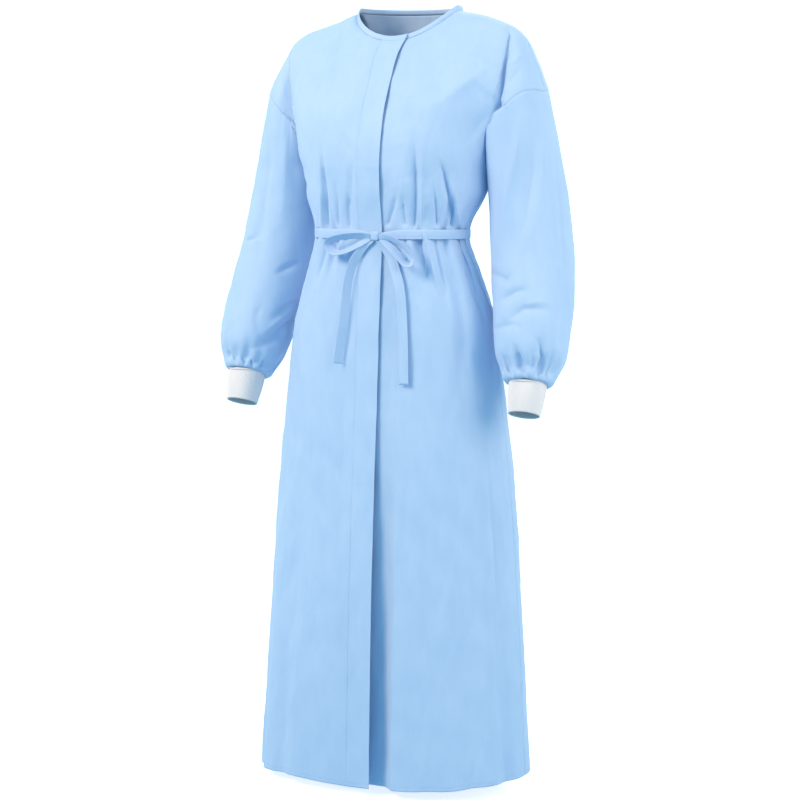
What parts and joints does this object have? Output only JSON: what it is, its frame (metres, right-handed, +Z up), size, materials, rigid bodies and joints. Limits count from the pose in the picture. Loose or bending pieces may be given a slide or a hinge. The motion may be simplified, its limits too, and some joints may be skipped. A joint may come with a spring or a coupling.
{
  "type": "medical gown",
  "caption": "Full-length light blue surgical gown with a lapped front, long sleeves gathered into white knit cuffs, a bound round neck and a belt tied in a bow.",
  "frame": {"origin": "middle of the neck opening, level with the shoulder seams' neck ends, where the wearer's shoulders carry the gown", "axes": "+X towards the wearer's left, -Y out of the front, +Z up"},
  "size_m": [0.7082, 0.305, 1.4108],
  "materials": {
    "gown_cloth": "matte woven",
    "trim_cloth": "matte woven",
    "cuff_knit": "ribbed knit"
  },
  "bodies": {
    "root": {"front_right": "gown_cloth", "front_left": "gown_cloth", "back_right": "gown_cloth", "back_left": "gown_cloth", "sleeve_right": "gown_cloth", "sleeve_left": "gown_cloth", "cuff_right": "cuff_knit", "cuff_left": "cuff_knit", "neck_binding": "trim_cloth", "belt_band": "trim_cloth", "belt_knot": "trim_cloth", "bow_loop_right": "trim_cloth", "bow_loop_left": "trim_cloth", "belt_tail_right": "trim_cloth", "belt_tail_left": "trim_cloth"}
  },
  "joints": []
}
